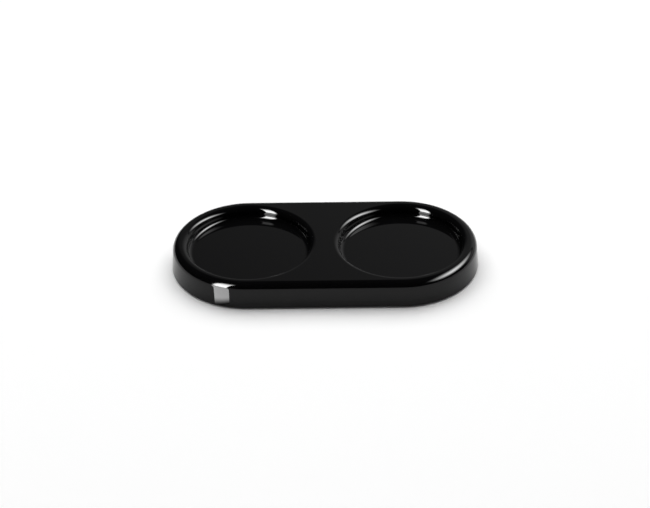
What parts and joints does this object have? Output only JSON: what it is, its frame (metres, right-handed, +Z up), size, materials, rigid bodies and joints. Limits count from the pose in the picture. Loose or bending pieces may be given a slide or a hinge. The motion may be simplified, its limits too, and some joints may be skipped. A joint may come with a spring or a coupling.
{
  "type": "pepper mill tray",
  "caption": "Low round-ended tray with round wells side by side that hold salt and pepper mills, on non-slip pads.",
  "frame": {"origin": "on the table, under the middle of the tray, level with the feet of the non-slip pads", "axes": "+X along the tray to the right, +Y to the back, +Z up; the front faces -Y"},
  "size_m": [0.176, 0.089, 0.016],
  "materials": {
    "gloss_body": "gloss",
    "pad_rubber": "matte"
  },
  "bodies": {
    "root": {"tray_body": "gloss_body", "foot_pad_front_left": "pad_rubber", "foot_pad_front_right": "pad_rubber", "foot_pad_back_left": "pad_rubber", "foot_pad_back_right": "pad_rubber"}
  },
  "joints": []
}
